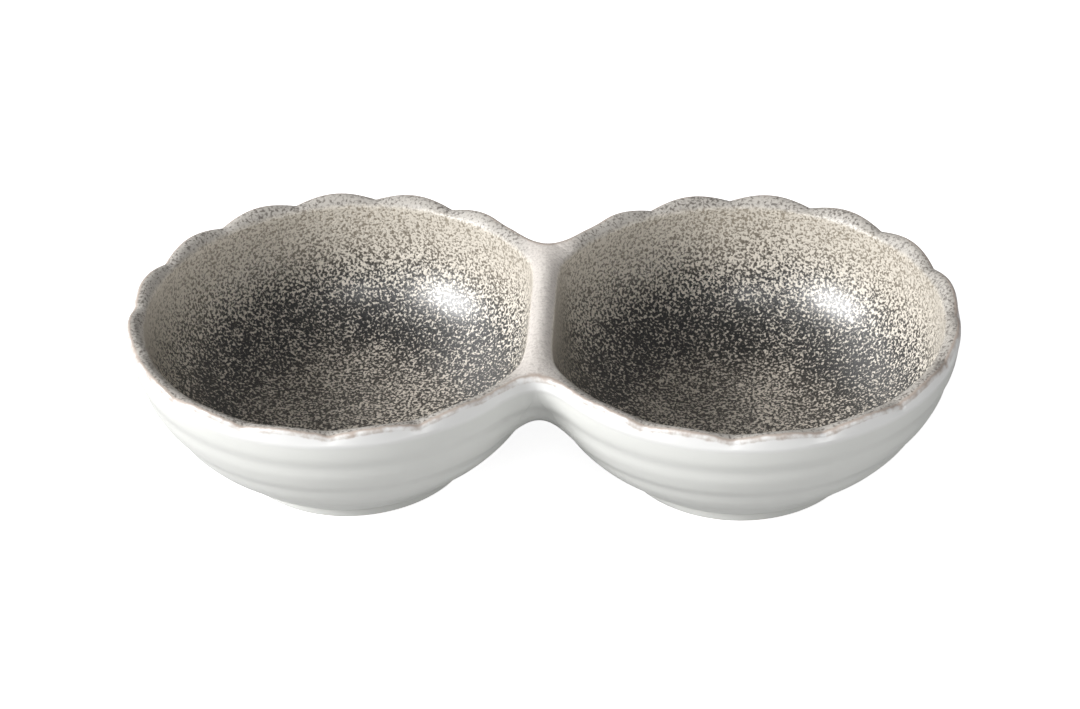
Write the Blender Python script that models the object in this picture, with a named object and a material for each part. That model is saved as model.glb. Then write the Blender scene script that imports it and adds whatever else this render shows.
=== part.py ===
"""A chip and dip dish: two thrown bowls that run into each other, with one dividing ridge between them,
a scalloped lip round both and a foot ring under each.

The fired dish is one piece of pottery, so its sub-parts are the layers it is made of: the white body, the
speckled lining of each bowl, the mottled band on the lip and ridge, and the two foot rings.
Metres, +Z up. The dish stands on z = 0 with its bowls side by side along X."""

import math

import bmesh
import bpy
import numpy as np

# Plan of the dish
HALF_SPACING = 0.062
RIM_RADIUS = 0.0679
INNER_RADIUS = 0.0634
RIDGE_HALF_WIDTH = 0.0040
WAIST_BLEND = 0.0186
RIDGE_CORNER_BLEND = 0.0045
STRAIGHT_FROM = 0.0496

# Heights
RIM_HEIGHT = 0.0528
INNER_EDGE_HEIGHT = 0.0526
FLOOR_HEIGHT = 0.0080
FOOT_HEIGHT = 0.0030

# Foot rings, and where each bowl's wall starts above them
FOOT_RADIUS = 0.0382
FOOT_INNER_RADIUS = 0.0330
FOOT_EDGE = 0.0006
WALL_START_RADIUS = 0.0389

# Scallops: equal lobes counted from the far end of each bowl, level through the waist
LOBE_ANGLE = math.radians(23.06)
LOBE_LIFT = 0.0024
LOBE_REACH = 0.0010
LOBES_TO_WAIST = 6.2

# Shape of the walls
WALL_POWER = 2.2
BOWL_POWER = 3.0
BOWL_DROP_POWER = 2.5
FLOOR_ANGLE = math.radians(84)

# Layers
GLAZE = 0.0012
GAP = 0.0003
SHELF_DROP = GLAZE + GAP

# How finely each surface is divided
COLUMNS_IN_WAIST = 8
COLUMNS_PER_LOBE = 4
LOBE_COLUMNS = 25
WALL_ROWS = 9
BOWL_ROWS = 7
LIP_ROWS = 2
FOOT_SIDES = 40


def clear_scene():
    for obj in list(bpy.data.objects):
        bpy.data.objects.remove(obj, do_unlink=True)


def material(name, colour, roughness):
    made = bpy.data.materials.new(name)
    made.use_nodes = True
    shader = made.node_tree.nodes["Principled BSDF"]
    shader.inputs["Base Color"].default_value = (*colour, 1)
    shader.inputs["Roughness"].default_value = roughness
    shader.inputs["Metallic"].default_value = 0.0
    return made


def waist_distance(x, y):
    """Distance from the nearer bowl's axis, lowered smoothly where both axes are about as near, so that its
    level lines are two circles joined by a waist."""
    near = np.hypot(x + HALF_SPACING, y)
    far = np.hypot(x - HALF_SPACING, y)
    share = np.clip(WAIST_BLEND - np.abs(near - far), 0, None) / WAIST_BLEND
    return np.minimum(near, far) - share**2 * WAIST_BLEND / 4


def bowl_distance(x, y):
    """Distance from the left bowl's axis, but by the dividing ridge that of a straight wall. The smooth
    larger of the two rounds the corners where the ridge meets the round wall."""
    round_wall = np.hypot(x + HALF_SPACING, y)
    ridge_face = HALF_SPACING - RIDGE_HALF_WIDTH
    stretch = (INNER_RADIUS - STRAIGHT_FROM) / (ridge_face - STRAIGHT_FROM)
    ridge_wall = STRAIGHT_FROM + (x + HALF_SPACING - STRAIGHT_FROM) * stretch
    blend = RIDGE_CORNER_BLEND
    share = np.clip(blend - np.abs(round_wall - ridge_wall), 0, None) / blend
    return np.maximum(round_wall, ridge_wall) + share**2 * blend / 4


def reach(distance, angles, level):
    """How far out from the left bowl's axis each direction meets the level line, found by halving."""
    low = np.zeros(angles.shape)
    high = np.full(angles.shape, 2 * HALF_SPACING)
    for _ in range(40):
        middle = (low + high) / 2
        inside = distance(middle * np.cos(angles) - HALF_SPACING, middle * np.sin(angles)) < level
        low = np.where(inside, middle, low)
        high = np.where(inside, high, middle)
    return (low + high) / 2


def lobes(angles):
    """0 at the cusps, 1 at the crests and a steady value through the waist."""
    from_end = np.abs(np.mod(angles, 2 * math.pi) - math.pi) / LOBE_ANGLE
    return np.abs(np.sin(math.pi * np.minimum(from_end, LOBES_TO_WAIST)))


def column_blocks():
    """Directions round the left bowl: a block that faces the waist, where the mid-plane cuts the wall off,
    and a block for the rest, which has a column on every cusp."""
    level = RIM_RADIUS + LOBE_REACH * lobes(np.zeros(1))[0]
    waist_end = math.sqrt((level + WAIST_BLEND / 4) ** 2 - HALF_SPACING**2)
    cut = math.atan2(waist_end, HALF_SPACING)
    waist = np.linspace(-cut, cut, COLUMNS_IN_WAIST + 1)
    steps = np.arange(-LOBE_COLUMNS, LOBE_COLUMNS + 1) / COLUMNS_PER_LOBE
    rest = np.concatenate([[cut], math.pi + steps * LOBE_ANGLE, [2 * math.pi - cut]])
    return waist, rest


def wall_height(distance):
    """Outside of a bowl's wall, which swells out over the foot and rises upright to the rim."""
    base = FOOT_HEIGHT + GAP
    share = np.clip((distance - WALL_START_RADIUS) / (RIM_RADIUS - WALL_START_RADIUS), 0, 1)
    return base + (RIM_HEIGHT - base) * (1 - (1 - share) ** (1 / WALL_POWER))


def place(angles, radii, heights):
    """A grid of points round the left bowl's axis, kept on its side of the mid-plane."""
    x = np.minimum(radii * np.cos(angles) - HALF_SPACING, 0)
    return np.stack([x, radii * np.sin(angles), heights + 0 * x], axis=-1)


def outer_edge(angles):
    """Radius and height of the lip's outer edge, stopped at the mid-plane, where it is the ridge's crest."""
    crest = lobes(angles)
    radii = reach(waist_distance, angles, RIM_RADIUS + LOBE_REACH * crest)
    forward = np.maximum(np.cos(angles), 0.1)
    return np.minimum(radii, HALF_SPACING / forward), RIM_HEIGHT + LOBE_LIFT * crest


def outside_grid(angles, drop):
    """The outer wall from the foot up to the lip, or in the waist up to the mid-plane over the arch."""
    radii, edge = outer_edge(angles)
    spread = 1 - (1 - np.linspace(0, 1, WALL_ROWS + 1)[:, None]) ** 1.6
    rows = WALL_START_RADIUS + (radii - WALL_START_RADIUS) * spread
    x = np.minimum(rows * np.cos(angles) - HALF_SPACING, 0)
    heights = wall_height(waist_distance(x, rows * np.sin(angles)))
    lift = np.clip(heights / RIM_HEIGHT, 0, 1) ** 8
    return place(angles, rows, heights + lift * (edge - RIM_HEIGHT - drop))


def lip_grid(angles, inset, drop):
    """The lip from its outer edge in to the bowl's edge, or in the waist from the ridge's crest."""
    radii, edge = outer_edge(angles)
    inner = reach(bowl_distance, angles, INNER_RADIUS + inset)
    share = np.linspace(0, 1, LIP_ROWS + 1)[:, None]
    return place(angles, radii + (inner - radii) * share, edge + (INNER_EDGE_HEIGHT - edge) * share - drop)


def bowl_grid(angles, inset, floor):
    """A bowl's inside from just under the lip down to a ring on its floor: a superellipse, whose level
    lines are cut straight along the ridge."""
    turn = np.linspace(0, FLOOR_ANGLE, BOWL_ROWS + 1)[:, None]
    levels = INNER_RADIUS * np.cos(turn) ** (2 / BOWL_POWER) + inset
    heights = INNER_EDGE_HEIGHT - (INNER_EDGE_HEIGHT - floor) * np.sin(turn) ** (2 / BOWL_DROP_POWER)
    radii = reach(bowl_distance, angles + 0 * levels, levels)
    return place(angles, radii, np.minimum(heights, INNER_EDGE_HEIGHT - SHELF_DROP))


def add_grid(bm, grid):
    """Quads over a grid of points. They face outwards where the rows run from the foot up over the lip and
    down into the bowl, and the columns run anticlockwise."""
    rows = [[bm.verts.new(point) for point in row] for row in grid.tolist()]
    for below, above in zip(rows, rows[1:]):
        for a, b, c, d in zip(below, below[1:], above[1:], above):
            bm.faces.new((a, b, c, d))


def add_disc(bm, ring, upward):
    """A fan that closes a bowl's floor or base at the height of the ring round it."""
    centre = bm.verts.new((-HALF_SPACING, 0, ring[0, 2]))
    points = [bm.verts.new(point) for point in ring.tolist()]
    for a, b in zip(points, points[1:]):
        bm.faces.new((centre, a, b) if upward else (centre, b, a))


def finished(name, bm, finish):
    """The mesh as a named object with its material, its shared edges joined."""
    bmesh.ops.remove_doubles(bm, verts=bm.verts, dist=1e-6)
    mesh = bpy.data.meshes.new(name)
    bm.to_mesh(mesh)
    bm.free()
    mesh.materials.append(finish)
    mesh.shade_smooth()
    mesh.set_sharp_from_angle(angle=math.radians(50))
    obj = bpy.data.objects.new(name, mesh)
    bpy.context.scene.collection.objects.link(obj)
    return obj


def copy_across(obj, name):
    """The same piece turned half round the dish's centre, which puts it on the right-hand bowl."""
    other = bpy.data.objects.new(name, obj.data)
    bpy.context.scene.collection.objects.link(other)
    other.location = (-obj.location.x, obj.location.y, obj.location.z)
    other.rotation_euler.z = math.pi
    return other


def mirror_in_mid_plane(obj):
    mirror = obj.modifiers.new("Mirror", "MIRROR")
    mirror.use_axis[0] = True
    mirror.use_mirror_merge = True
    mirror.merge_threshold = 0.0001


def make_body(finish):
    """Outer wall, the shelf that the lip band lies on, the hollow for each lining and the flat base."""
    bm = bmesh.new()
    for angles in column_blocks():
        wall = outside_grid(angles, SHELF_DROP)
        hollow = bowl_grid(angles, SHELF_DROP, FLOOR_HEIGHT - SHELF_DROP)
        add_disc(bm, wall[0], upward=False)
        add_grid(bm, wall)
        add_grid(bm, lip_grid(angles, SHELF_DROP, SHELF_DROP))
        add_grid(bm, hollow)
        add_disc(bm, hollow[-1], upward=True)
    mirror_in_mid_plane(finished("body", bm, finish))


def make_lip_band(finish):
    """The glaze on the lip and the ridge, an even layer with its own top, underside and two edges."""
    bm = bmesh.new()
    waist, rest = column_blocks()
    for angles in (waist, rest):
        top = lip_grid(angles, 0, 0)
        under = lip_grid(angles, 0, GLAZE)[::-1]
        add_grid(bm, top)
        add_grid(bm, np.stack([top[-1], under[0]]))
        add_grid(bm, under)
        if angles is rest:
            add_grid(bm, np.stack([under[-1], top[0]]))
    mirror_in_mid_plane(finished("lip_band", bm, finish))


def make_linings(finish):
    """The speckled glaze inside each bowl, a cup with an even wall."""
    bm = bmesh.new()
    for angles in column_blocks():
        inside = bowl_grid(angles, 0, FLOOR_HEIGHT)
        outside = bowl_grid(angles, GLAZE, FLOOR_HEIGHT - GLAZE)[::-1]
        add_disc(bm, outside[0], upward=False)
        add_grid(bm, outside)
        add_grid(bm, np.stack([outside[-1], inside[0]]))
        add_grid(bm, inside)
        add_disc(bm, inside[-1], upward=True)
    copy_across(finished("left_lining", bm, finish), "right_lining")


def make_feet(finish):
    """A turned ring under each bowl, its section carried once round the axis and its edges eased."""
    bm = bmesh.new()
    section = [
        (FOOT_INNER_RADIUS, 0, 0),
        (FOOT_RADIUS, 0, 0),
        (FOOT_RADIUS, 0, FOOT_HEIGHT),
        (FOOT_INNER_RADIUS, 0, FOOT_HEIGHT),
    ]
    corners = [bm.verts.new(point) for point in section]
    edges = [bm.edges.new((a, b)) for a, b in zip(corners, corners[1:] + corners[:1])]
    whole_turn = {"cent": (0, 0, 0), "axis": (0, 0, 1), "angle": 2 * math.pi, "steps": FOOT_SIDES}
    bmesh.ops.spin(bm, geom=corners + edges, **whole_turn)
    bmesh.ops.remove_doubles(bm, verts=bm.verts, dist=1e-6)
    bmesh.ops.recalc_face_normals(bm, faces=bm.faces)
    left = finished("left_foot_ring", bm, finish)
    left.location.x = -HALF_SPACING
    for obj in (left, copy_across(left, "right_foot_ring")):
        eased = obj.modifiers.new("Eased edges", "BEVEL")
        eased.width = FOOT_EDGE
        eased.segments = 1
        eased.limit_method = "ANGLE"


def main():
    clear_scene()
    make_body(material("white_glaze", (0.80, 0.80, 0.78), 0.25))
    make_lip_band(material("mottled_glaze", (0.42, 0.38, 0.34), 0.35))
    make_linings(material("speckled_glaze", (0.22, 0.20, 0.17), 0.25))
    make_feet(material("foot_clay", (0.72, 0.71, 0.68), 0.6))


main()
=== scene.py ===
"""Finished look of a chip and dip dish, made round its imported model: two thrown stoneware bowls that run
into each other, white outside with throwing rings, a scalloped mottled lip and a speckled glaze inside.

Metres, +Z up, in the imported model's own frame."""

import functools
import math

import bpy
import numpy as np
from bpy.props import FloatProperty, FloatVectorProperty, IntProperty, PointerProperty
from mathutils import Matrix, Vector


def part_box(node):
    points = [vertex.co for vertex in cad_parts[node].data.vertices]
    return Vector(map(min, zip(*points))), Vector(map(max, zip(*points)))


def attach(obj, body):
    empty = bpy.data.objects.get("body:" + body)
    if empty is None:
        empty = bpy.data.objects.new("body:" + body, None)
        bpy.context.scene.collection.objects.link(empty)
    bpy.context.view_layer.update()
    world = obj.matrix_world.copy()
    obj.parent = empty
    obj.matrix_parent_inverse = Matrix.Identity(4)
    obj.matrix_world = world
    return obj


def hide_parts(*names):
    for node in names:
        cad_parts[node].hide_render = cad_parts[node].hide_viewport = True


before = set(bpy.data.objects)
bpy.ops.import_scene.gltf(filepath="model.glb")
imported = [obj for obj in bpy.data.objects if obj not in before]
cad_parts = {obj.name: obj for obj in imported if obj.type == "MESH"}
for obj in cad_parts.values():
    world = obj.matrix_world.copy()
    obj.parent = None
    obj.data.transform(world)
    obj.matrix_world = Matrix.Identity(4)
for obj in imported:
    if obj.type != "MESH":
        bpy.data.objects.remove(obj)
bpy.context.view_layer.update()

bl_info = {
    "name": "Chip and dip dish",
    "version": (1, 0, 0),
    "blender": (4, 5, 0),
    "location": "3D View > Sidebar > Dish",
    "description": "Makes the glazed pieces of a two-bowl chip and dip dish and the studio round it",
    "category": "Add Mesh",
}

WAY_NAME = "glaze_way"

# Millimetres of way that the lip's top and its outer edge take
LIP_TOP = 3.0
LIP_EDGE = 2.0
MM = 0.001

FOOT_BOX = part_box("left_foot_ring")
LIP_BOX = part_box("lip_band")

# Shape of the dish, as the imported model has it
WAIST_BLEND = 0.0186
RIDGE_CORNER_BLEND = 0.0045
STRAIGHT_FROM = 0.0496
WALL_START_RADIUS = 0.0389
WALL_POWER = 2.2
BOWL_POWER = 3.0
BOWL_DROP_POWER = 2.5

# Scallops, counted from the far end: the place among them whose height the waist keeps, and the last crest,
# from which they are eased to that height
LOBES_TO_WAIST = 6.27
LAST_CREST = 5.5

# Thickness of a glaze that is its own piece, and the gap that stands for a fused joint
GLAZE = 0.0012
GAP = 0.0003
SHELF_DROP = GLAZE + GAP

# Angles from the waist over which the band's lean and the lip's crown are eased in
FLARE_FROM = 0.60
FLARE_EASE = 0.40

# Angle from the waist where the lip's rounding starts to widen, and the angle that it takes
WIDER_FROM = math.radians(52)
WIDER_EASE = math.radians(18)

# Heights where the throwing rings and the swell under the band start, the heights over which they are
# eased in, and the height of the middle of one ring
RINGS_FROM = 0.005
RINGS_EASE = 0.008
RING_MIDDLE = 0.0325
SWELL_FROM = 0.030
SWELL_EASE = 0.016

# How finely each surface is divided
WAIST_COLUMNS = 56
JOIN_COLUMNS = 14
COLUMNS_PER_LOBE = 24
LOBE_COLUMNS = 150
WALL_ROWS = 80
BAND_ROWS = 14
LIP_ROWS = 40
CORNER_ROWS = 10
BOWL_ROWS = 80
HIDDEN_LIP_ROWS = 3
HIDDEN_BOWL_ROWS = 14
FOOT_SIDES = 192

# Share of the wall's way that lies below the step under the white band
STEP_FROM = 0.88

# Foot ring: rounding of its bottom edges, and two heights on its sides
FOOT_EASE = 0.0007
FOOT_SIDE = 0.0015
FOOT_NECK = 0.0024

# Ways given to surfaces away from the edges of the glazes: the base, and those hidden behind the lip, at
# the rim's gap and behind the lining
BASE_WAY = -60.0
BEHIND_LIP_WAY = -3.0
RIM_GAP_WAY = 1.0
BEHIND_LINING_WAY = 40.0


def length(name, description, default, soft_max=0.2):
    return FloatProperty(
        name=name, description=description, default=default, min=0, soft_max=soft_max,
        subtype="DISTANCE", unit="LENGTH", precision=5,
    )


def colour(name, description, default):
    return FloatVectorProperty(
        name=name, description=description, default=default, size=3, min=0, max=1, subtype="COLOR"
    )


def factor(name, description, default, top=1.0):
    return FloatProperty(name=name, description=description, default=default, min=0, max=top)


def watts(name, description, default):
    return FloatProperty(name=name, description=description, default=default, min=0, unit="POWER")


class DishSizes(bpy.types.PropertyGroup):
    """Sizes of the dish that a user may change."""

    half_spacing: length(
        "Half spacing", "From the middle to each bowl's axis", -(FOOT_BOX[0].x + FOOT_BOX[1].x) / 2
    )
    rim_radius: length("Rim radius", "Outside of the rim at its cusps", 0.0679)
    inner_radius: length("Inner radius", "Inside edge of the lip", 0.0634)
    ridge_half_width: length("Ridge half width", "Half of the dividing ridge", 0.0040)
    rim_height: length("Rim height", "Height of the lip at its cusps", LIP_BOX[1].z - 0.0024)
    inner_edge: length("Inner edge height", "Height of the lip's inside edge", 0.0526)
    floor_height: length("Floor height", "Height of each bowl's floor inside", 0.0080)
    foot_radius: length("Foot radius", "Outside of each foot ring", (FOOT_BOX[1].x - FOOT_BOX[0].x) / 2)
    foot_width: length("Foot width", "Width of each foot ring", 0.0052)
    foot_height: length("Foot height", "Height of each foot ring", FOOT_BOX[1].z)
    lobe_angle: FloatProperty(
        name="Lobe angle", description="Angle that each scallop takes", default=math.radians(23.06),
        min=0.1, max=1, subtype="ANGLE",
    )
    lobe_lift: length("Lobe lift", "Rise of a scallop over the cusps", 0.0024)
    lobe_reach: length("Lobe reach", "How far a scallop stands out past the cusps", 0.0007)
    band_proud: length("Band step", "How far the band under the lip stands out", 0.0003)
    band_flare: length("Band flare", "How far the band's foot stands out past the lip", 0.00025)
    step_height: length("Step height", "Height of the step under the band", 0.0493)
    step_ease: length("Step ease", "Height over which the step is eased", 0.0024)
    ring_depth: length("Ring depth", "Height of the throwing rings on the wall", 0.00026)
    ring_pitch: length("Ring pitch", "Height from one throwing ring to the next", 0.0135)
    lip_round: length("Lip rounding", "Rounding of the lip's outer edge", 0.0012)
    waist_round: length("Waist rounding", "Rounding of the outer edge at the waist", 0.0015)
    inner_round: length("Inner rounding", "Rounding of the lip's inside edge", 0.0011)
    lip_crown: length("Lip crown", "How far the lip swells between its edges", 0.00035)


class DishGlazes(bpy.types.PropertyGroup):
    """Colours and grain of the glazes that a user may change."""

    white: colour("White glaze", "Outside of the dish", (0.665, 0.67, 0.645))
    band: colour("White band", "Thick white glaze under the lip", (0.765, 0.765, 0.755))
    # Ridge colour: a paler glaze, made lighter still by painted light where the ridge's top is lit
    ridge: colour("Ridge", "Pale glaze along the ridge", (0.80, 0.745, 0.70))
    cream: colour("Cream grains", "Pale grains near the rim", (0.70, 0.65, 0.57))
    floor_cream: colour("Floor grains", "Pale grains on the floor", (0.60, 0.55, 0.48))
    brown: colour("Brown ground", "Ground between the grains near the rim", (0.32, 0.28, 0.225))
    black: colour("Black ground", "Ground low on the wall", (0.006, 0.006, 0.006))
    floor_brown: colour("Floor ground", "Ground on the floor", (0.022, 0.018, 0.014))
    lip: colour("Lip", "Mottled lip", (0.47, 0.445, 0.41))
    lip_dark: colour("Lip mottling", "Dark mottling on the lip", (0.16, 0.145, 0.13))
    blush: colour("Lip edge", "Pinkish brown where the lip turns over", (0.43, 0.365, 0.32))
    clay: colour("Bare clay", "Unglazed bottom of the foot rings", (0.58, 0.54, 0.47))
    grain: length("Grain", "Size of the grains in the bowls", 0.00085, 0.01)
    wall_roughness: factor("Wall roughness", "Roughness of the white glaze", 0.34)
    bowl_roughness: factor("Bowl roughness", "Roughness of the speckled glaze", 0.33)


class StudioSizes(bpy.types.PropertyGroup):
    """Light and floor."""

    key_power: watts("Key light", "Power of the main light", 79)
    fill_power: watts("Fill light", "Power of the front light", 5)
    low_power: watts("Low light", "Power of the low right light", 12)
    back_power: watts("Back light", "Power of the back left light", 12)
    surround: factor("Surround", "Brightness of the white surround", 0.20, 5.0)
    floor: colour("Floor", "Pale studio floor", (0.50, 0.50, 0.50))
    floor_glow: factor("Floor glow", "Brightness added to the floor where it is looked at", 0.9, 5.0)
    floor_size: IntProperty(name="Floor size", description="Side of the floor in metres", default=12, min=1)


def halved(rising, target, low, high):
    """Where a rising function meets its target: the span from low to high is halved again and again."""
    for _ in range(44):
        middle = (low + high) / 2
        under = rising(middle) < target
        low = np.where(under, middle, low)
        high = np.where(under, high, middle)
    return (low + high) / 2


def eased(share):
    """0 to 1 along a cubic that is level at both ends."""
    share = np.clip(share, 0, 1)
    return share * share * (3 - 2 * share)


def waist_distance(s, x, y):
    """Distance from the nearer bowl's axis, less a quarter of the square of how nearly equal the two
    distances are, so that its level lines are two circles joined by a waist."""
    near = np.hypot(x + s.half_spacing, y)
    far = np.hypot(x - s.half_spacing, y)
    share = np.clip(WAIST_BLEND - np.abs(near - far), 0, None) / WAIST_BLEND
    return np.minimum(near, far) - share**2 * WAIST_BLEND / 4


def bowl_distance(s, x, y):
    """Distance from the left bowl's axis or, where it is larger, the stretched distance of a straight wall
    along the ridge, with the corner between the two rounded."""
    round_wall = np.hypot(x + s.half_spacing, y)
    ridge_face = s.half_spacing - s.ridge_half_width
    stretch = (s.inner_radius - STRAIGHT_FROM) / (ridge_face - STRAIGHT_FROM)
    ridge_wall = STRAIGHT_FROM + (x + s.half_spacing - STRAIGHT_FROM) * stretch
    blend = RIDGE_CORNER_BLEND
    share = np.clip(blend - np.abs(round_wall - ridge_wall), 0, None) / blend
    return np.maximum(round_wall, ridge_wall) + share**2 * blend / 4


def reach(s, distance, angles, level):
    """How far out from the left bowl's axis each direction meets a level line of a distance, or the mid-plane
    where that is nearer."""
    start = np.zeros(np.broadcast_shapes(np.shape(angles), np.shape(level)))
    to_middle = s.half_spacing / np.maximum(np.cos(angles), 0.1)
    furthest = start + np.minimum(2 * s.half_spacing, to_middle)

    def out(radii):
        return distance(s, radii * np.cos(angles) - s.half_spacing, radii * np.sin(angles))

    return halved(out, level, start, furthest)


def lobes(s, angles):
    """Scallops: the size of a sine that is 0 at the cusps and 1 at the crests, eased from the last crest to
    a steady height through the waist."""
    from_end = np.abs(np.mod(angles, 2 * math.pi) - math.pi) / s.lobe_angle
    steady = abs(math.sin(math.pi * LOBES_TO_WAIST))
    scallops = np.abs(np.sin(math.pi * from_end))
    return scallops + (steady - scallops) * eased((from_end - LAST_CREST) / 0.5)


def directions(s):
    """Directions round the left bowl, once round from one end of the waist: the waist's own, which crowd
    towards its ends as a sine does, then those that widen as a square up to the first scallop, then even
    ones with a column on every cusp, then the same steps back to the waist."""
    level = s.rim_radius + s.lobe_reach * lobes(s, np.zeros(1))[0]
    waist_end = math.sqrt((level + WAIST_BLEND / 4) ** 2 - s.half_spacing**2)
    cut = math.atan2(waist_end, s.half_spacing)
    waist = cut * np.sin(np.linspace(-math.pi / 2, math.pi / 2, WAIST_COLUMNS + 1))
    steps = np.arange(-LOBE_COLUMNS, LOBE_COLUMNS + 1) / COLUMNS_PER_LOBE
    lobed = math.pi + steps * s.lobe_angle
    join = cut + (lobed[0] - cut) * np.linspace(0, 1, JOIN_COLUMNS + 1) ** 2
    return np.concatenate([waist, join[1:-1], lobed, 2 * math.pi - join[-2::-1]])


def rings(s, heights, angles):
    """Throwing rings: a wave up the wall with a weaker one of half its pitch, which makes the hollows
    narrower than the swells. It drifts a little round the dish and fades towards the foot."""
    drift = 0.5 * MM * np.sin(angles + 0.8) + 0.35 * MM * np.sin(2 * angles + 2.1)
    turn = 2 * math.pi * (heights + drift - RING_MIDDLE) / s.ring_pitch
    wave = np.cos(turn) - 0.28 * np.cos(2 * turn)
    return s.ring_depth * wave * eased((heights - RINGS_FROM) / RINGS_EASE)


def from_waist(angles):
    """Angle between each direction and the one that faces the other bowl."""
    return np.abs(np.mod(angles + math.pi, 2 * math.pi) - math.pi)


def flare(s, angles):
    """How far the band's foot stands out past the lip: nothing in the waist, eased in beside it."""
    return s.band_flare * eased((from_waist(angles) - FLARE_FROM) / FLARE_EASE)


def band_foot(s, angles):
    """Level at the foot of the band, from where it leans in to the lip."""
    return s.rim_radius + s.lobe_reach * lobes(s, np.zeros(1))[0] + flare(s, angles)


def wall_profile(s, ways, angles):
    """Level and height along the outer wall for ways 0 to 1: a curve whose level grows as 1 less a power
    of the height that is left, with the rings across it and a swell eased in towards the top, then the
    eased step out to the band."""
    base = s.foot_height + GAP
    step_foot = s.step_height - s.step_ease / 2
    step_top = s.step_height + s.step_ease / 2
    span = s.rim_radius - WALL_START_RADIUS
    rise = np.clip(ways / STEP_FROM, 0, 1) + 0 * angles
    heights = base + (step_foot - base) * rise
    share = (heights - base) / (s.rim_height - base)
    levels = WALL_START_RADIUS + span * (1 - (1 - share) ** WALL_POWER)
    slope = span * WALL_POWER * (1 - share) ** (WALL_POWER - 1) / (s.rim_height - base)
    ring = rings(s, heights, angles) / np.hypot(1, slope)
    swell = band_foot(s, angles) - s.rim_radius - s.band_proud
    levels = levels + ring + swell * eased((heights - SWELL_FROM) / SWELL_EASE)
    heights = heights - ring * slope
    step = np.clip((ways - STEP_FROM) / (1 - STEP_FROM), 0, 1) + 0 * angles
    levels = levels + (band_foot(s, angles) - levels) * eased(step)
    return levels, heights + (step_top - step_foot) * step


def rim(s, angles):
    """Level and height of the lip's outer edge, and how far it is rounded."""
    crest = lobes(s, angles)
    to_waist = eased((WIDER_FROM - from_waist(angles)) / WIDER_EASE)
    rounding = s.lip_round + (s.waist_round - s.lip_round) * to_waist
    return s.rim_radius + s.lobe_reach * crest, s.rim_height + s.lobe_lift * crest, rounding


def placed(s, angles, radii, heights):
    """Points round the left bowl's axis, kept on its side of the mid-plane."""
    x = np.minimum(radii * np.cos(angles) - s.half_spacing, 0)
    return np.stack([x, radii * np.sin(angles), heights + 0 * x], axis=-1)


def outer_reach(s, angles):
    """Radius of the lip's outer edge, or in the waist of the mid-plane."""
    to_edge = reach(s, waist_distance, angles, rim(s, angles)[0])
    to_middle = s.half_spacing / np.maximum(np.cos(angles), 0.1)
    return np.minimum(to_edge, to_middle), to_middle <= to_edge + 1e-9


def wall_grid(s, angles):
    """The wall from the foot up to the band. In the waist its ways are cut short at the mid-plane."""
    radii, in_waist = outer_reach(s, angles)
    edge = placed(s, angles, radii, 0)
    last_level = waist_distance(s, edge[..., 0], edge[..., 1])

    def level_at(ways):
        return wall_profile(s, ways, angles)[0]

    last_way = halved(level_at, last_level, np.zeros(angles.shape), np.ones(angles.shape))
    last_way = np.where(in_waist, last_way, 1)
    ways = np.linspace(0, 1, WALL_ROWS + 1)[:, None] * last_way
    levels, heights = wall_profile(s, ways, angles)
    levels = np.where(in_waist, np.minimum(levels, last_level), levels)
    radii_all = reach(s, waist_distance, angles + 0 * ways, levels)
    radii_all[-1] = np.where(in_waist, radii, radii_all[-1])
    return placed(s, angles, radii_all, heights)


def lip_grid(s, angles):
    """The lip from its outer edge, or from the ridge's crest in the waist, in to the bowl: a parabola up
    from the inside edge with a slight crown, less a parabolic fall within the rounding's width of the
    outer edge, then a three-point curve round the inside corner. Also says which columns lie in the waist."""
    level, height, rounding = rim(s, angles)
    outer, in_waist = outer_reach(s, angles)
    corner = reach(s, bowl_distance, angles, s.inner_radius)
    near_corner = reach(s, bowl_distance, angles, s.inner_radius + s.inner_round)
    share = np.linspace(0, 1, LIP_ROWS + 1)[:, None] ** 1.7
    radii = outer + (near_corner - outer) * share
    across = (radii - corner) / (outer - corner)
    crown = s.lip_crown * np.sin(math.pi * across) ** 2 * np.where(in_waist, 0, 1)
    crown = crown * eased((from_waist(angles) - FLARE_FROM) / FLARE_EASE)
    x = np.minimum(radii * np.cos(angles) - s.half_spacing, 0)
    depth = np.clip((level - waist_distance(s, x, radii * np.sin(angles))) / rounding, 0, 1)
    fall = rounding * (1 - np.sqrt(depth)) ** 2
    heights = s.inner_edge + (height - s.inner_edge) * (1 - (1 - across) ** 2) + crown - fall
    turn = np.linspace(0, 1, CORNER_ROWS + 1)[1:, None]
    first, middle, last = (1 - turn) ** 2, 2 * turn * (1 - turn), turn**2
    corner_levels = first * (s.inner_radius + s.inner_round) + (middle + last) * s.inner_radius
    corner_heights = first * heights[-1] + middle * s.inner_edge + last * (s.inner_edge - s.inner_round)
    corner_radii = reach(s, bowl_distance, angles + 0 * turn, corner_levels)
    radii = np.concatenate([radii, corner_radii])
    heights = np.concatenate([heights, corner_heights])
    return placed(s, angles, radii, heights), in_waist


def bowl_grid(s, angles, inset, floor, rows, top):
    """A bowl's inside: a superellipse from the lip down to the middle of the floor, where its level goes
    as a power of a cosine and its height as a power of a sine."""
    depth = s.inner_edge - floor
    start = math.asin(((s.inner_edge - top) / depth) ** (BOWL_DROP_POWER / 2))
    turn = start + (math.pi / 2 - start) * (1 - (1 - np.linspace(0, 1, rows + 1)[:, None]) ** 1.6)
    levels = s.inner_radius * np.cos(turn) ** (2 / BOWL_POWER)
    levels = levels * (1 + inset / s.inner_radius)
    levels[-1] = 0
    heights = s.inner_edge - depth * np.sin(turn) ** (2 / BOWL_DROP_POWER)
    radii = reach(s, bowl_distance, angles + 0 * levels, levels)
    radii[-1] = 0
    return placed(s, angles, radii, heights)


def steps_along(points):
    """Distance between each row of a grid and the next."""
    return np.linalg.norm(np.diff(points, axis=0), axis=-1)


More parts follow.
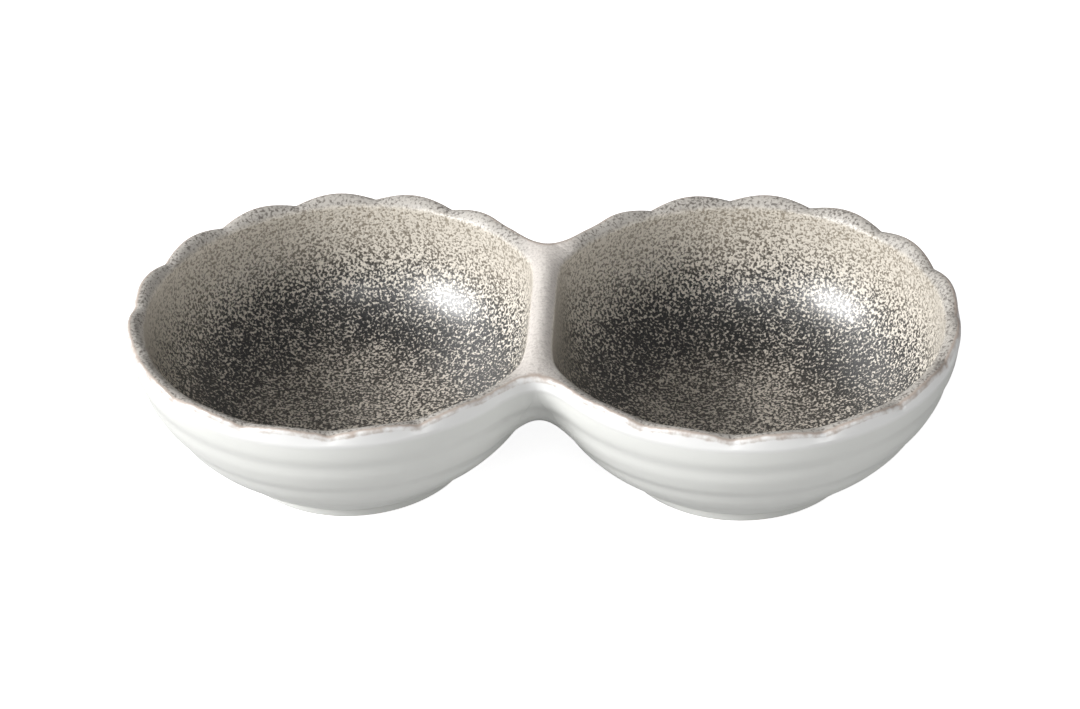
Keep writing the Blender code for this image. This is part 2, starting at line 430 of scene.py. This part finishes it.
def between(start, end, rows):
    """Straight rows from one line of points to another, both included."""
    share = np.linspace(0, 1, rows + 1)[:, None, None]
    return start + (end - start) * share


def half_surfaces(s):
    """Every surface of the dish's left half as (points, ways): ways are millimetres along the glaze from
    the lip's inside edge, growing down into the bowl and falling over the lip and down the outside."""
    angles = directions(s)
    level, height, rounding = rim(s, angles)
    wall = wall_grid(s, angles)
    lip, in_waist = lip_grid(s, angles)
    bowl = bowl_grid(s, angles, 0, s.floor_height, BOWL_ROWS, s.inner_edge - s.inner_round)
    bowl[0] = lip[-1]
    bowl[-1] = bowl[-1].mean(axis=0)
    for grid in (wall, lip, bowl):
        grid[:, -1] = grid[:, 0]

    rise = np.linspace(0, 1, BAND_ROWS + 1)[:, None]
    foot_level = band_foot(s, angles)
    band_levels = foot_level + (level - foot_level) * rise**1.15
    band_heights = wall[-1, :, 2] + (height - rounding - wall[-1, :, 2]) * rise
    band_radii = reach(s, waist_distance, angles + 0 * rise, band_levels)
    band = placed(s, angles, band_radii, band_heights)
    band[0], band[-1] = wall[-1], lip[0]
    beside_waist = np.arange(WAIST_COLUMNS, len(angles))
    ends = np.array([WAIST_COLUMNS, len(angles) - 1])
    band[:, ends, 0] = 0
    band[:, ends, 1] = wall[-1, ends, 1]

    lip_steps = steps_along(lip)
    inward = np.concatenate([0 * lip_steps[:1], np.cumsum(lip_steps, axis=0)])
    corner_row = LIP_ROWS + CORNER_ROWS // 2
    from_bowl = (inward[corner_row] - inward) / MM
    from_outside = (level - waist_distance(s, lip[..., 0], lip[..., 1])) / MM
    lip_way = -np.minimum(from_bowl, LIP_TOP) - LIP_EDGE * eased(1 - from_outside / LIP_EDGE)
    bowl_steps = steps_along(bowl)
    bowl_way = lip_way[-1] + np.concatenate([0 * bowl_steps[:1], np.cumsum(bowl_steps, axis=0)]) / MM
    drop = (height - rounding) / MM
    edge_way = -LIP_TOP - LIP_EDGE
    band_way = edge_way + band[..., 2] / MM - drop
    wall_way = edge_way + wall[..., 2] / MM - drop

    under = between(lip[0], lip[-1], HIDDEN_LIP_ROWS)
    sunk = np.where(in_waist, 1.0, 0.0)
    sunk[ends] = 0
    fade = np.linspace(1, 0, HIDDEN_LIP_ROWS + 1)[:, None]
    under[..., 2] -= GLAZE * sunk * fade
    top = s.inner_edge - s.inner_round
    outside = bowl_grid(s, angles, GLAZE, s.floor_height - GLAZE, HIDDEN_BOWL_ROWS, top - GAP)
    hollow = bowl_grid(s, angles, SHELF_DROP, s.floor_height - SHELF_DROP, HIDDEN_BOWL_ROWS, top - 2 * GAP)
    for grid in (outside, hollow):
        grid[-1] = grid[-1].mean(axis=0)
        grid[:, -1] = grid[:, 0]
    shelf = between(lip[0], hollow[0], HIDDEN_LIP_ROWS)
    shelf[..., 2] -= SHELF_DROP * sunk * fade
    middle = np.broadcast_to([-s.half_spacing, 0, s.foot_height + GAP], wall[:1].shape)
    base = np.concatenate([middle, wall[:1]])
    return {
        "base": (base, np.full(base.shape[:2], BASE_WAY)),
        "wall": (wall, wall_way),
        "band": (band[:, beside_waist], band_way[:, beside_waist]),
        "lip": (lip, lip_way),
        "bowl": (bowl, bowl_way),
        "under": (under[::-1], np.full(under.shape[:2], BEHIND_LIP_WAY)),
        "outside": (outside[::-1], np.full(outside.shape[:2], BEHIND_LINING_WAY)),
        "rim_gap": (np.stack([outside[0], bowl[0]]), np.full(bowl[:2].shape[:2], RIM_GAP_WAY)),
        "shelf": (shelf, np.full(shelf.shape[:2], BEHIND_LIP_WAY)),
        "hollow": (hollow, np.full(hollow.shape[:2], BEHIND_LINING_WAY)),
    }


SIDES = ("left", "right")
VISIBLE = ("base", "wall", "band", "lip", "bowl")
PIECE_SURFACES = {
    "glazed_body": ("base", "wall", "band", "shelf", "hollow"),
    "mottled_lip": ("lip", "under"),
    "bowl_glaze": ("outside", "rim_gap", "bowl"),
}


def mirrored(surface):
    """The same surface across the mid-plane, its columns the other way round to face outwards."""
    points, ways = surface
    return points[:, ::-1] * np.array([-1.0, 1.0, 1.0]), ways[:, ::-1]


def joined(surfaces):
    """Points that lie together made one: (points, ways, faces of each surface as four numbers)."""
    points = np.concatenate([p.reshape(-1, 3) for p, _ in surfaces])
    ways = np.concatenate([w.reshape(-1) for _, w in surfaces])
    keys = np.round(points * 1e7).astype(np.int64)
    _, first, number = np.unique(keys, axis=0, return_index=True, return_inverse=True)
    number = number.reshape(-1)
    faces, start = [], 0
    for p, _ in surfaces:
        rows, columns = p.shape[:2]
        grid = number[start : start + rows * columns].reshape(rows, columns)
        start += rows * columns
        quads = [grid[:-1, :-1], grid[:-1, 1:], grid[1:, 1:], grid[1:, :-1]]
        faces.append(np.stack(quads, axis=-1).reshape(-1, 4))
    return points[first], ways[first], faces


def area_normals(points, quads):
    """At each point, the sum of its faces' cross-diagonal products, made one long."""
    corners = points[quads]
    cross = np.cross(corners[:, 2] - corners[:, 0], corners[:, 3] - corners[:, 1])
    total = np.zeros(points.shape)
    for column in range(4):
        np.add.at(total, quads[:, column], cross)
    long = np.linalg.norm(total, axis=1, keepdims=True)
    return total / np.maximum(long, 1e-30)


def polygons(quads):
    """Faces as lists, with a four-sided face that has two corners together made three-sided."""
    turned = np.roll(quads, -1, axis=1)
    same = quads == turned
    whole = quads[~same.any(axis=1)]
    pinched = quads[same.sum(axis=1) == 1]
    kept = ~same[same.sum(axis=1) == 1]
    return whole.tolist() + pinched[kept].reshape(-1, 3).tolist()


SIZE_NAMES = tuple(DishSizes.__annotations__)


class Sizes:
    """The sizes as plain numbers."""

    def __init__(self, values):
        for name, value in zip(SIZE_NAMES, values):
            setattr(self, name, value)


@functools.lru_cache(maxsize=1)
def whole_dish(values):
    """Both halves of every surface, with points shared, and the smooth normals of all that shows."""
    half = half_surfaces(Sizes(values))
    names, surfaces = [], []
    for name, surface in half.items():
        names += [(name, side) for side in SIDES]
        surfaces += [surface, mirrored(surface)]
    points, ways, faces = joined(surfaces)
    faces = dict(zip(names, faces))
    shown = np.concatenate([quads for (name, _), quads in faces.items() if name in VISIBLE])
    hidden = np.concatenate([quads for (name, _), quads in faces.items() if name not in VISIBLE])
    normals = area_normals(points, shown)
    unseen = np.linalg.norm(normals, axis=1) < 0.5
    normals[unseen] = area_normals(points, hidden)[unseen]
    return points, ways, normals, faces


def dish_piece(context, object_name, surface_names, sides, finish):
    """One closed piece of the dish as a new object, smooth across its neighbours."""
    sizes = context.scene.dish_sizes
    values = tuple(getattr(sizes, name) for name in SIZE_NAMES)
    points, ways, normals, faces = whole_dish(values)
    quads = np.concatenate([faces[(name, side)] for name in surface_names for side in sides])
    used, quads = np.unique(quads, return_inverse=True)
    quads = quads.reshape(-1, 4)
    mesh = bpy.data.meshes.new(object_name)
    mesh.from_pydata(points[used].tolist(), [], polygons(quads))
    if mesh.validate():
        raise RuntimeError(f"{object_name} has faulty faces")
    mesh.shade_smooth()
    mesh.normals_split_custom_set_from_vertices(normals[used].tolist())
    way = mesh.attributes.new(WAY_NAME, "FLOAT", "POINT")
    way.data.foreach_set("value", ways[used].astype(np.float32))
    mesh.materials.append(finish)
    made = bpy.data.objects.new(object_name, mesh)
    context.scene.collection.objects.link(made)
    return made


def turned_piece(context, object_name, centre, section, finish):
    """A closed section of (radius, height) points carried once round an upright axis."""
    around = np.linspace(0, 2 * math.pi, FOOT_SIDES, endpoint=False)[:, None]
    radii, heights = np.array(section).T
    x = centre + radii * np.cos(around)
    points = np.stack([x, radii * np.sin(around), heights + 0 * x], axis=-1)
    count = len(section)
    number = np.arange(FOOT_SIDES * count).reshape(FOOT_SIDES, count)
    onward = np.roll(number, -1, axis=0)
    quads = [number, onward, np.roll(onward, -1, axis=1), np.roll(number, -1, axis=1)]
    mesh = bpy.data.meshes.new(object_name)
    quads = np.stack(quads, axis=-1).reshape(-1, 4)
    mesh.from_pydata(points.reshape(-1, 3).tolist(), [], quads.tolist())
    mesh.shade_smooth()
    mesh.materials.append(finish)
    made = bpy.data.objects.new(object_name, mesh)
    context.scene.collection.objects.link(made)
    return made


def node(tree, kind, values=(), **settings):
    """A node of a kind, with settings, and values or links for its inputs by name or number."""
    made = tree.nodes.new(kind)
    for name, value in settings.items():
        setattr(made, name, value)
    for name, value in dict(values).items():
        if isinstance(value, bpy.types.NodeSocket):
            tree.links.new(value, made.inputs[name])
        else:
            made.inputs[name].default_value = value
    return made


def maths(tree, operation, first, second=0.0, third=0.0):
    """One operation on up to three numbers or links."""
    values = {0: first, 1: second, 2: third}
    return node(tree, "ShaderNodeMath", values, operation=operation).outputs[0]


def blend(tree, share, first, second):
    """Colour between two colours."""
    made = node(tree, "ShaderNodeMix", {0: share, 6: first, 7: second}, data_type="RGBA")
    return made.outputs[2]


def spread(tree, value, low, high, out_low=0.0, out_high=1.0):
    """A value from low to high carried smoothly to another span."""
    values = {"Value": value, "From Min": low, "From Max": high, "To Min": out_low, "To Max": out_high}
    return node(tree, "ShaderNodeMapRange", values, interpolation_type="SMOOTHSTEP").outputs["Result"]


def noise(tree, where, size_in_metres, detail=2.0, roughness=0.5):
    """A noise about 0.5 whose features have a size in metres."""
    values = {"Vector": where, "Scale": 1 / size_in_metres, "Detail": detail, "Roughness": roughness}
    return node(tree, "ShaderNodeTexNoise", values).outputs[0]


def group_node(tree, name, values):
    """A node that holds a shared group, with values or links for its inputs."""
    return node(tree, "ShaderNodeGroup", values, node_tree=bpy.data.node_groups[name])


def new_group(name, inputs, outputs):
    """A node group with named sockets: (tree, its input node, its output node)."""
    tree = bpy.data.node_groups.new(name, "ShaderNodeTree")
    for socket, kind, default in inputs:
        made = tree.interface.new_socket(socket, in_out="INPUT", socket_type=kind)
        if default is not None:
            made.default_value = default
    for socket, kind in outputs:
        tree.interface.new_socket(socket, in_out="OUTPUT", socket_type=kind)
    return tree, tree.nodes.new("NodeGroupInput"), tree.nodes.new("NodeGroupOutput")


def curve(tree, value, points):
    """A value through a smooth curve of (from, to) points, both 0 to 1."""
    made = node(tree, "ShaderNodeFloatCurve", {"Value": value})
    line = made.mapping.curves[0]
    line.points[0].location, line.points[1].location = points[0], points[-1]
    for point in points[1:-1]:
        line.points.new(*point)
    made.mapping.update()
    return made.outputs[0]


VALUE, COLOUR, VECTOR = "NodeSocketFloat", "NodeSocketColor", "NodeSocketVector"

# Share of pale grains down the bowl, at shares of the whole way from the lip to the middle
PALE_COVER = (
    (0, 0.62), (0.09, 0.60), (0.19, 0.52), (0.29, 0.40), (0.38, 0.24), (0.48, 0.24), (0.60, 0.35),
    (0.76, 0.38), (1, 0.39),
)
WHOLE_WAY = 95.0

# Shares of the whole way over which the ground goes black and then brown, and the pale grains change colour
TO_BLACK = (0.0, 0.30)
TO_FLOOR_BROWN = (0.48, 0.64)
TO_FLOOR_CREAM = (0.25, 0.55)

# Ways, in millimetres, over which the lip gives way to the lining, its edge reddens and the white begins
LIP_TO_LINING = (-1.2, 1.4)
LIP_TO_BLUSH = (-3.2, -4.3)
LIP_TO_WHITE = (-4.3, -5.5)

# Heights over which the white wall gives way to the band, and distances from the mid-plane over which the
# lip takes up its share of the ridge's colour: a paler glaze, made lighter still by painted light on the lit
# ridge top
WALL_TO_BAND = (0.0480, 0.0504)
LIP_TO_RIDGE = (0.012, 0.004)
RIDGE_GLAZE_AND_LIGHT_SHARE = 0.6

# How far the edge of a grain is blurred in the lining and on the lip, and the size of the lip's mottling
LINING_SOFTNESS = 0.075
LIP_SOFTNESS = 0.11
MOTTLE_SIZE = 0.0009

# Metres that a height of 1 stands for in a bump, the weight of the grains in it, and the coat's roughness
BUMP_HEIGHT = 0.0003
GRAIN_RELIEF = 1.3
COAT_ROUGHNESS = 0.30


def grains_group():
    """Grains of a size: a fine noise cut at a height that leaves the asked share pale."""
    inputs = (
        ("Where", VECTOR, None), ("Size", VALUE, 0.0012),
        ("Pale share", VALUE, 0.5), ("Softness", VALUE, 0.06),
    )
    tree, given, out = new_group("Glaze grains", inputs, (("Pale", VALUE), ("Height", VALUE)))
    scale = maths(tree, "DIVIDE", 1.0, given.outputs["Size"])
    values = {
        "Vector": given.outputs["Where"], "Scale": scale, "Detail": 2.6, "Roughness": 0.55, "Distortion": 0.3,
    }
    fine = node(tree, "ShaderNodeTexNoise", values).outputs[0]
    cut = maths(tree, "MULTIPLY_ADD", given.outputs["Pale share"], -0.30, 0.65)
    low = maths(tree, "SUBTRACT", cut, given.outputs["Softness"])
    high = maths(tree, "ADD", cut, given.outputs["Softness"])
    pale = spread(tree, fine, low, high)
    tree.links.new(pale, out.inputs["Pale"])
    tree.links.new(fine, out.inputs["Height"])
    return tree


def relief_group():
    """Skin of a fired glaze: a slow unevenness with a faint orange peel on it."""
    inputs = (("Where", VECTOR, None), ("Peel", VALUE, 0.3))
    tree, given, out = new_group("Glaze skin", inputs, (("Height", VALUE),))
    slow = noise(tree, given.outputs["Where"], 0.016, 1.0, 0.4)
    peel = noise(tree, given.outputs["Where"], 0.0022, 2.0, 0.5)
    height = maths(tree, "MULTIPLY_ADD", peel, given.outputs["Peel"], slow)
    tree.links.new(height, out.inputs["Height"])
    return tree


def lay_group():
    """How the glazes lie from the outside over the lip to the middle of a bowl: the colour at each way,
    with the edges between them broken up, how grainy the place is and how high its grains stand."""
    inputs = (
        ("Where", VECTOR, None), ("Way", VALUE, 0.0), ("White", COLOUR, None), ("Band", COLOUR, None),
        ("Blush", COLOUR, None), ("Ridge", COLOUR, None), ("Lip", COLOUR, None), ("Lip dark", COLOUR, None),
        ("Cream", COLOUR, None), ("Brown", COLOUR, None),
        ("Black", COLOUR, None), ("Floor cream", COLOUR, None), ("Floor brown", COLOUR, None),
        ("Grain", VALUE, 0.0012),
    )
    outputs = (("Colour", COLOUR), ("Speckled", VALUE), ("Grain height", VALUE))
    tree, given, out = new_group("Lay of the glazes", inputs, outputs)
    where, way = given.outputs["Where"], given.outputs["Way"]
    cloud = maths(tree, "SUBTRACT", noise(tree, where, 0.022, 2.0, 0.55), 0.5)
    broken = maths(tree, "SUBTRACT", noise(tree, where, 0.0035, 3.0, 0.6), 0.5)
    down = maths(tree, "DIVIDE", maths(tree, "MULTIPLY_ADD", cloud, 14.0, way), WHOLE_WAY)

    cover = curve(tree, down, PALE_COVER)
    cover = maths(tree, "MULTIPLY_ADD", cloud, 0.35, cover)
    values = {
        "Where": where, "Size": given.outputs["Grain"], "Pale share": cover, "Softness": LINING_SOFTNESS,
    }
    grains = group_node(tree, "Glaze grains", values)
    low_wall = spread(tree, down, *TO_BLACK)
    to_floor = spread(tree, down, *TO_FLOOR_BROWN)
    ground = blend(tree, low_wall, given.outputs["Brown"], given.outputs["Black"])
    ground = blend(tree, to_floor, ground, given.outputs["Floor brown"])
    paler = spread(tree, down, *TO_FLOOR_CREAM)
    pale = blend(tree, paler, given.outputs["Cream"], given.outputs["Floor cream"])
    lining = blend(tree, grains.outputs["Pale"], ground, pale)

    cover = maths(tree, "MULTIPLY_ADD", cloud, 0.8, 0.68)
    values = {"Where": where, "Size": MOTTLE_SIZE, "Pale share": cover, "Softness": LIP_SOFTNESS}
    mottling = group_node(tree, "Glaze grains", values)
    lip = blend(tree, mottling.outputs["Pale"], given.outputs["Lip dark"], given.outputs["Lip"])
    place = node(tree, "ShaderNodeSeparateXYZ", {0: where})
    aside = maths(tree, "ABSOLUTE", place.outputs["X"])
    # Towards the mid-plane the lip takes the ridge's colour: a paler glaze plus painted light on the lit
    # ridge top
    ridge_edge = maths(tree, "MULTIPLY_ADD", broken, 0.004, aside)
    ridge_glaze_and_light_share = spread(tree, ridge_edge, *LIP_TO_RIDGE, 0.0, RIDGE_GLAZE_AND_LIGHT_SHARE)
    lip = blend(tree, ridge_glaze_and_light_share, lip, given.outputs["Ridge"])
    edge = maths(tree, "MULTIPLY_ADD", broken, 1.8, way)
    lip = blend(tree, spread(tree, edge, *LIP_TO_BLUSH), lip, given.outputs["Blush"])
    to_lining = spread(tree, maths(tree, "MULTIPLY_ADD", broken, 2.0, way), *LIP_TO_LINING)
    inside = blend(tree, to_lining, lip, lining)
    to_white = spread(tree, maths(tree, "MULTIPLY_ADD", broken, 2.2, way), *LIP_TO_WHITE)
    in_band = spread(tree, place.outputs["Z"], *WALL_TO_BAND)
    white = blend(tree, in_band, given.outputs["White"], given.outputs["Band"])
    tree.links.new(blend(tree, to_white, inside, white), out.inputs["Colour"])
    inside_only = maths(tree, "SUBTRACT", 1.0, to_white)
    grainy = maths(tree, "MULTIPLY", inside_only, spread(tree, to_lining, 0.0, 1.0, 0.5, 1.0))
    tree.links.new(grainy, out.inputs["Speckled"])
    tree.links.new(grains.outputs["Height"], out.inputs["Grain height"])
    return tree


def make_groups():
    """The shared groups, each made where it isn't there yet. The last one holds the first."""
    makers = {"Glaze grains": grains_group, "Glaze skin": relief_group, "Lay of the glazes": lay_group}
    for name, maker in makers.items():
        if name not in bpy.data.node_groups:
            maker()


def start_material(name, roughness):
    """A material with its shader and the place on the piece: (material, tree, shader, place)."""
    made = bpy.data.materials.new(name)
    made.use_nodes = True
    tree = made.node_tree
    shader = tree.nodes["Principled BSDF"]
    shader.inputs["Roughness"].default_value = roughness
    shader.inputs["IOR"].default_value = 1.5
    place = tree.nodes.new("ShaderNodeTexCoord").outputs["Object"]
    return made, tree, shader, place


def glazed_material(name, glazes, roughness, peel, bump_strength, coat=0.0):
    """A fired glaze that follows the way over the dish, with a clear coat over it where one is asked for."""
    made, tree, shader, place = start_material(name, roughness)
    shader.inputs["Coat Weight"].default_value = coat
    shader.inputs["Coat Roughness"].default_value = COAT_ROUGHNESS
    make_groups()
    way = node(tree, "ShaderNodeAttribute", attribute_name=WAY_NAME).outputs["Fac"]
    values = {
        "Where": place, "Way": way, "Grain": glazes.grain, "White": (*glazes.white, 1),
        "Band": (*glazes.band, 1), "Blush": (*glazes.blush, 1), "Ridge": (*glazes.ridge, 1),
        "Lip": (*glazes.lip, 1), "Lip dark": (*glazes.lip_dark, 1), "Cream": (*glazes.cream, 1),
        "Brown": (*glazes.brown, 1), "Black": (*glazes.black, 1),
        "Floor cream": (*glazes.floor_cream, 1), "Floor brown": (*glazes.floor_brown, 1),
    }
    laid = group_node(tree, "Lay of the glazes", values)
    tree.links.new(laid.outputs["Colour"], shader.inputs["Base Color"])
    relief = group_node(tree, "Glaze skin", {"Where": place, "Peel": peel})
    grain = maths(tree, "MULTIPLY", laid.outputs["Grain height"], laid.outputs["Speckled"])
    height = maths(tree, "MULTIPLY_ADD", grain, GRAIN_RELIEF, relief.outputs["Height"])
    values = {"Height": height, "Strength": bump_strength, "Distance": BUMP_HEIGHT}
    bump = node(tree, "ShaderNodeBump", values)
    tree.links.new(bump.outputs["Normal"], shader.inputs["Normal"])
    return made


def foot_material(glazes):
    """White glaze down the foot ring, wiped off to bare clay where it stands."""
    made, tree, shader, place = start_material("Wiped foot", glazes.wall_roughness)
    make_groups()
    above_table = node(tree, "ShaderNodeSeparateXYZ", {0: place}).outputs["Z"]
    ragged = maths(tree, "SUBTRACT", noise(tree, place, 0.004, 3.0, 0.6), 0.5)
    line = maths(tree, "MULTIPLY_ADD", ragged, 0.0008, above_table)
    glazed = spread(tree, line, 0.0002, 0.0005)
    sand = noise(tree, place, 0.0007, 3.0, 0.7)
    dark_clay = tuple(channel * 0.72 for channel in glazes.clay)
    clay = blend(tree, sand, (*dark_clay, 1), (*glazes.clay, 1))
    tree.links.new(blend(tree, glazed, clay, (*glazes.white, 1)), shader.inputs["Base Color"])
    tree.links.new(spread(tree, glazed, 0, 1, 0.8, glazes.wall_roughness), shader.inputs["Roughness"])
    relief = group_node(tree, "Glaze skin", {"Where": place, "Peel": 0.4})
    rough = maths(tree, "MULTIPLY", sand, maths(tree, "SUBTRACT", 1.0, glazed))
    height = maths(tree, "ADD", rough, relief.outputs["Height"])
    values = {"Height": height, "Strength": 0.35, "Distance": BUMP_HEIGHT}
    tree.links.new(node(tree, "ShaderNodeBump", values).outputs["Normal"], shader.inputs["Normal"])
    return made


class DISH_OT_body(bpy.types.Operator):
    """Make the white outside of both bowls with its rings and the band under the lip"""

    bl_idname = "dish.body"
    bl_label = "Make body"

    def execute(self, context):
        glazes = context.scene.dish_glazes
        finish = glazed_material("White glaze", glazes, glazes.wall_roughness, peel=0.12, bump_strength=0.25)
        made = dish_piece(context, "glazed_body", PIECE_SURFACES["glazed_body"], SIDES, finish)
        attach(made, "root")
        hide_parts("body")
        return {"FINISHED"}


class DISH_OT_lip(bpy.types.Operator):
    """Make the mottled lip round both bowls and the ridge between them"""

    bl_idname = "dish.lip"
    bl_label = "Make lip"

    def execute(self, context):
        glazes = context.scene.dish_glazes
        finish = glazed_material("Mottled glaze", glazes, glazes.bowl_roughness, peel=0.5, bump_strength=0.8)
        made = dish_piece(context, "mottled_lip", PIECE_SURFACES["mottled_lip"], SIDES, finish)
        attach(made, "root")
        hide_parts("lip_band")
        return {"FINISHED"}


class DISH_OT_bowl_glazes(bpy.types.Operator):
    """Make the speckled glaze inside each bowl"""

    bl_idname = "dish.bowl_glazes"
    bl_label = "Make bowl glazes"

    def execute(self, context):
        glazes = context.scene.dish_glazes
        finish = glazed_material(
            "Speckled glaze", glazes, glazes.bowl_roughness, peel=0.5, bump_strength=0.9, coat=0.85
        )
        for side in SIDES:
            surfaces = PIECE_SURFACES["bowl_glaze"]
            made = dish_piece(context, f"{side}_bowl_glaze", surfaces, (side,), finish)
            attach(made, "root")
            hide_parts(f"{side}_lining")
        return {"FINISHED"}


class DISH_OT_feet(bpy.types.Operator):
    """Make the turned foot ring under each bowl"""

    bl_idname = "dish.feet"
    bl_label = "Make foot rings"

    def execute(self, context):
        sizes = context.scene.dish_sizes
        finish = foot_material(context.scene.dish_glazes)
        outer, inner = sizes.foot_radius, sizes.foot_radius - sizes.foot_width
        top = sizes.foot_height + 2 * GAP
        ease = FOOT_EASE
        turn = np.linspace(0, math.pi / 2, 7)
        outer_edge = (outer - ease + ease * np.sin(turn), ease - ease * np.cos(turn))
        inner_edge = (inner + ease - ease * np.cos(turn), ease - ease * np.sin(turn))
        section = list(zip(*outer_edge))
        section += [(outer, FOOT_SIDE), (outer - 0.1 * MM, FOOT_NECK), (outer, top)]
        section += [(inner, top), (inner, FOOT_NECK), (inner, FOOT_SIDE)]
        section += list(zip(*inner_edge))
        for side, centre in (("left", -sizes.half_spacing), ("right", sizes.half_spacing)):
            made = turned_piece(context, f"{side}_foot", centre, section, finish)
            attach(made, "root")
            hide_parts(f"{side}_foot_ring")
        return {"FINISHED"}


# Soft panels: name, place, width, height, and the property that holds the power
PANELS = (
    ("Key panel", (-1.90, -0.88, 1.16), 1.15, 0.9, "key_power"),
    ("Front strip", (-0.15, -1.4, 1.42), 0.35, 0.6, "fill_power"),
    ("Back panel", (-1.50, 0.87, 1.35), 1.4, 1.2, "back_power"),
    ("Low panel", (1.63, -1.14, 0.24), 1.2, 0.4, "low_power"),
)
PANEL_TARGET = (0, 0, 0.03)

# Camera: where it stands, its turn left, its tilt down and its lean, and its lens
CAMERA_PLACE = (0.04719, -0.68795, 0.51307)
CAMERA_TURN = 0.070033
CAMERA_TILT = 0.604778
CAMERA_LEAN = -0.032108
CAMERA_LENS = 87.93
CAMERA_SENSOR = 36.0


def camera_matrix():
    """Axes of a camera turned left, tilted down and leant, with its place."""
    turn, tilt, lean = CAMERA_TURN, CAMERA_TILT, CAMERA_LEAN
    ahead = np.array([-math.sin(turn) * math.cos(tilt), math.cos(turn) * math.cos(tilt), -math.sin(tilt)])
    right = np.array([math.cos(turn), math.sin(turn), 0])
    up = np.cross(right, ahead)
    right, up = right * math.cos(lean) + up * math.sin(lean), up * math.cos(lean) - right * math.sin(lean)
    matrix = np.eye(4)
    matrix[:3] = np.stack([right, up, -ahead, CAMERA_PLACE], axis=-1)
    return Matrix(matrix.tolist())


def area_light(context, name, place, target, width, height, power):
    """A soft panel that faces a point."""
    data = bpy.data.lights.new(name, "AREA")
    data.shape = "RECTANGLE"
    data.size, data.size_y, data.energy = width, height, power
    made = bpy.data.objects.new(name, data)
    context.scene.collection.objects.link(made)
    back = np.array(place, float) - np.array(target, float)
    back /= np.linalg.norm(back)
    right = np.cross((0, 0, 1), back)
    right /= np.linalg.norm(right)
    matrix = np.eye(4)
    matrix[:3] = np.stack([right, np.cross(back, right), back, place], axis=-1)
    made.matrix_world = Matrix(matrix.tolist())
    return made


class DISH_OT_studio(bpy.types.Operator):
    """Make the pale floor, the soft lights and the camera"""

    bl_idname = "dish.studio"
    bl_label = "Make studio"

    def execute(self, context):
        studio = context.scene.dish_studio
        half = studio.floor_size / 2
        mesh = bpy.data.meshes.new("studio_floor")
        corners = [(-half, -half, 0), (half, -half, 0), (half, half, 0), (-half, half, 0)]
        mesh.from_pydata(corners, [], [(0, 1, 2, 3)])
        floor = bpy.data.objects.new("studio_floor", mesh)
        context.scene.collection.objects.link(floor)
        finish, tree, shader, where = start_material("Studio floor", 0.9)
        paper = noise(tree, where, 0.5)
        paler = tuple(min(channel * 1.01, 1) for channel in studio.floor)
        base = blend(tree, paper, (*studio.floor, 1), (*paler, 1))
        tree.links.new(base, shader.inputs["Base Color"])
        shader.inputs["Emission Color"].default_value = (1, 1, 1, 1)
        seen = tree.nodes.new("ShaderNodeLightPath").outputs["Is Camera Ray"]
        tree.links.new(maths(tree, "MULTIPLY", seen, studio.floor_glow), shader.inputs["Emission Strength"])
        shader.inputs["Specular IOR Level"].default_value = 0.0
        mesh.materials.append(finish)

        world = bpy.data.worlds.new("White surround")
        context.scene.world = world
        world.use_nodes = True
        background = world.node_tree.nodes["Background"]
        background.inputs["Color"].default_value = (1, 1, 1, 1)
        background.inputs["Strength"].default_value = studio.surround

        for name, place, width, height, power in PANELS:
            area_light(context, name, place, PANEL_TARGET, width, height, getattr(studio, power))

        lens = bpy.data.cameras.new("Camera")
        lens.lens, lens.sensor_width, lens.sensor_fit = CAMERA_LENS, CAMERA_SENSOR, "HORIZONTAL"
        lens.clip_start, lens.clip_end = 0.05, 50
        camera = bpy.data.objects.new("Camera", lens)
        context.scene.collection.objects.link(camera)
        camera.matrix_world = camera_matrix()
        context.scene.camera = camera
        context.scene.view_settings.view_transform = "Standard"
        return {"FINISHED"}


class DISH_PT_maker(bpy.types.Panel):
    """Sizes, glazes and buttons for the dish"""

    bl_label = "Chip and dip dish"
    bl_idname = "DISH_PT_maker"
    bl_space_type = "VIEW_3D"
    bl_region_type = "UI"
    bl_category = "Dish"

    def draw(self, context):
        layout = self.layout
        groups = (("Sizes", "dish_sizes"), ("Glazes", "dish_glazes"), ("Studio", "dish_studio"))
        for title, attribute in groups:
            box = layout.box()
            box.label(text=title)
            group = getattr(context.scene, attribute)
            for name in type(group).__annotations__:
                box.prop(group, name)
        for operator in OPERATORS:
            layout.operator(operator.bl_idname)


OPERATORS = (DISH_OT_body, DISH_OT_lip, DISH_OT_bowl_glazes, DISH_OT_feet, DISH_OT_studio)
GROUPS = (DishSizes, DishGlazes, StudioSizes)


def register():
    for each in (*GROUPS, *OPERATORS, DISH_PT_maker):
        bpy.utils.register_class(each)
    bpy.types.Scene.dish_sizes = PointerProperty(type=DishSizes)
    bpy.types.Scene.dish_glazes = PointerProperty(type=DishGlazes)
    bpy.types.Scene.dish_studio = PointerProperty(type=StudioSizes)


def unregister():
    del bpy.types.Scene.dish_sizes, bpy.types.Scene.dish_glazes, bpy.types.Scene.dish_studio
    for each in reversed((*GROUPS, *OPERATORS, DISH_PT_maker)):
        bpy.utils.unregister_class(each)


def main():
    """Makes every piece in turn."""
    register()
    bpy.ops.dish.body()
    bpy.ops.dish.lip()
    bpy.ops.dish.bowl_glazes()
    bpy.ops.dish.feet()
    bpy.ops.dish.studio()


if __name__ == "__main__":
    main()
